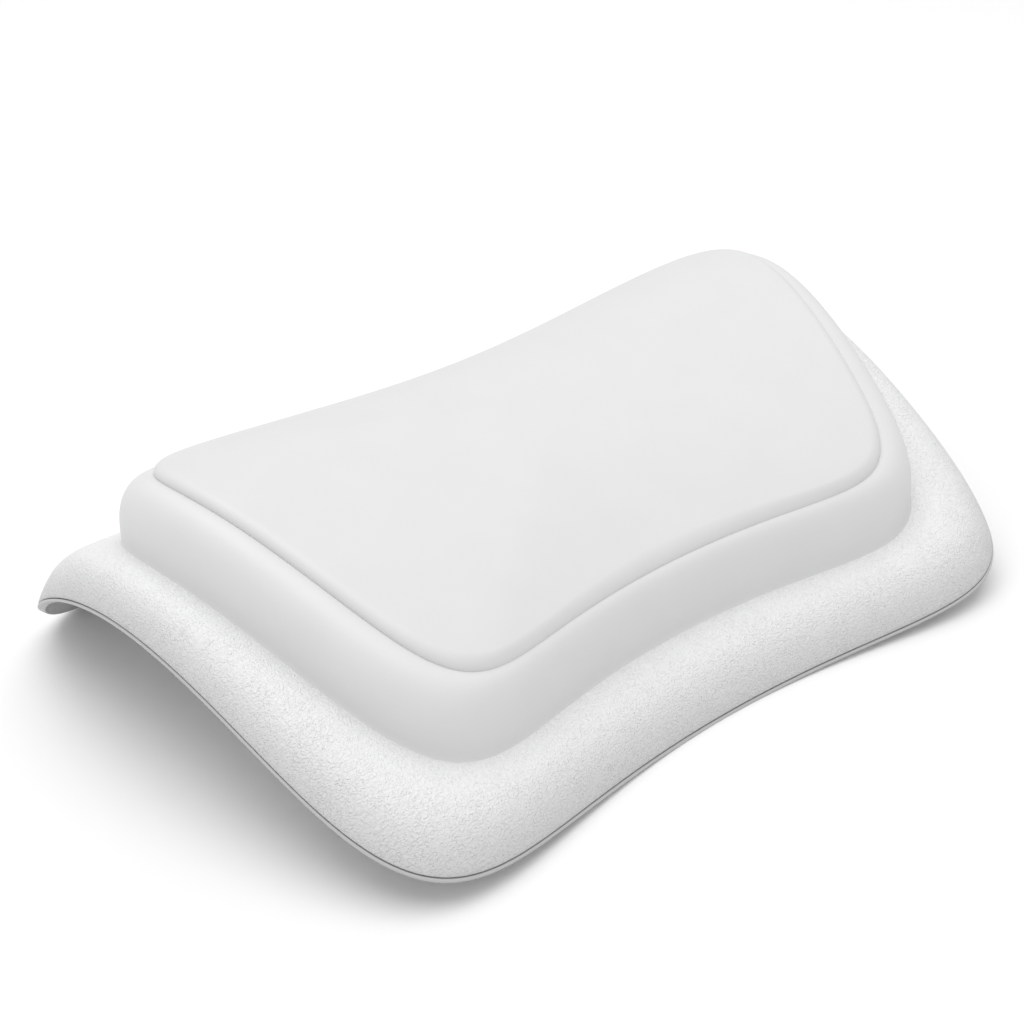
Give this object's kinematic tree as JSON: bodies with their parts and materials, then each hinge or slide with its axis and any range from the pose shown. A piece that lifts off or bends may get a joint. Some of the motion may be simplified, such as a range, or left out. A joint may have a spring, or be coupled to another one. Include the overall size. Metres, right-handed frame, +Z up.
{
  "type": "bath pillow",
  "caption": "Saddle-shaped moulded bath pillow: a smooth crowned pad on a bolster, a wide grained skirt that arches over the bath's edge, and suction cups underneath.",
  "frame": {"origin": "centre of the bounding box in plan, on the plane that the rim rests on", "axes": "+X along the pillow, +Y from its front edge to its back edge, +Z up"},
  "size_m": [0.3714, 0.2524, 0.1029],
  "materials": {
    "grained_skin": "white moulded skin with a fine leather grain",
    "smooth_skin": "smooth white moulded skin, soft sheen",
    "pad_skin": "smooth white moulded skin, satin",
    "liner_skin": "smooth white under-layer",
    "foam": "open-cell foam, hidden",
    "socket_vinyl": "moulded with the liner",
    "cup_vinyl": "soft clear vinyl, glossy"
  },
  "bodies": {
    "pillow": {"grain_skirt": "grained_skin", "base_liner": "liner_skin", "foam_core": "foam", "body_cover": "smooth_skin", "top_pad": "pad_skin", "cup_socket_1": "socket_vinyl", "cup_socket_2": "socket_vinyl", "cup_socket_3": "socket_vinyl", "cup_socket_4": "socket_vinyl", "cup_socket_5": "socket_vinyl", "cup_socket_6": "socket_vinyl"},
    "cup_1": {"suction_cup_1": "cup_vinyl"},
    "cup_2": {"suction_cup_2": "cup_vinyl"},
    "cup_3": {"suction_cup_3": "cup_vinyl"},
    "cup_4": {"suction_cup_4": "cup_vinyl"},
    "cup_5": {"suction_cup_5": "cup_vinyl"},
    "cup_6": {"suction_cup_6": "cup_vinyl"}
  },
  "joints": [
    {"name": "cup_1_press", "type": "slide", "parent": "pillow", "child": "cup_1", "axis": [0, 0, 1], "range_m": [0, 0.0025], "stiffness_N_per_m": 600},
    {"name": "cup_2_press", "type": "slide", "parent": "pillow", "child": "cup_2", "axis": [0, 0, 1], "range_m": [0, 0.0025], "stiffness_N_per_m": 600},
    {"name": "cup_3_press", "type": "slide", "parent": "pillow", "child": "cup_3", "axis": [0, 0, 1], "range_m": [0, 0.0025], "stiffness_N_per_m": 600},
    {"name": "cup_4_press", "type": "slide", "parent": "pillow", "child": "cup_4", "axis": [0, 0, 1], "range_m": [0, 0.0025], "stiffness_N_per_m": 600},
    {"name": "cup_5_press", "type": "slide", "parent": "pillow", "child": "cup_5", "axis": [0, 0, 1], "range_m": [0, 0.0025], "stiffness_N_per_m": 600},
    {"name": "cup_6_press", "type": "slide", "parent": "pillow", "child": "cup_6", "axis": [0, 0, 1], "range_m": [0, 0.0025], "stiffness_N_per_m": 600}
  ]
}
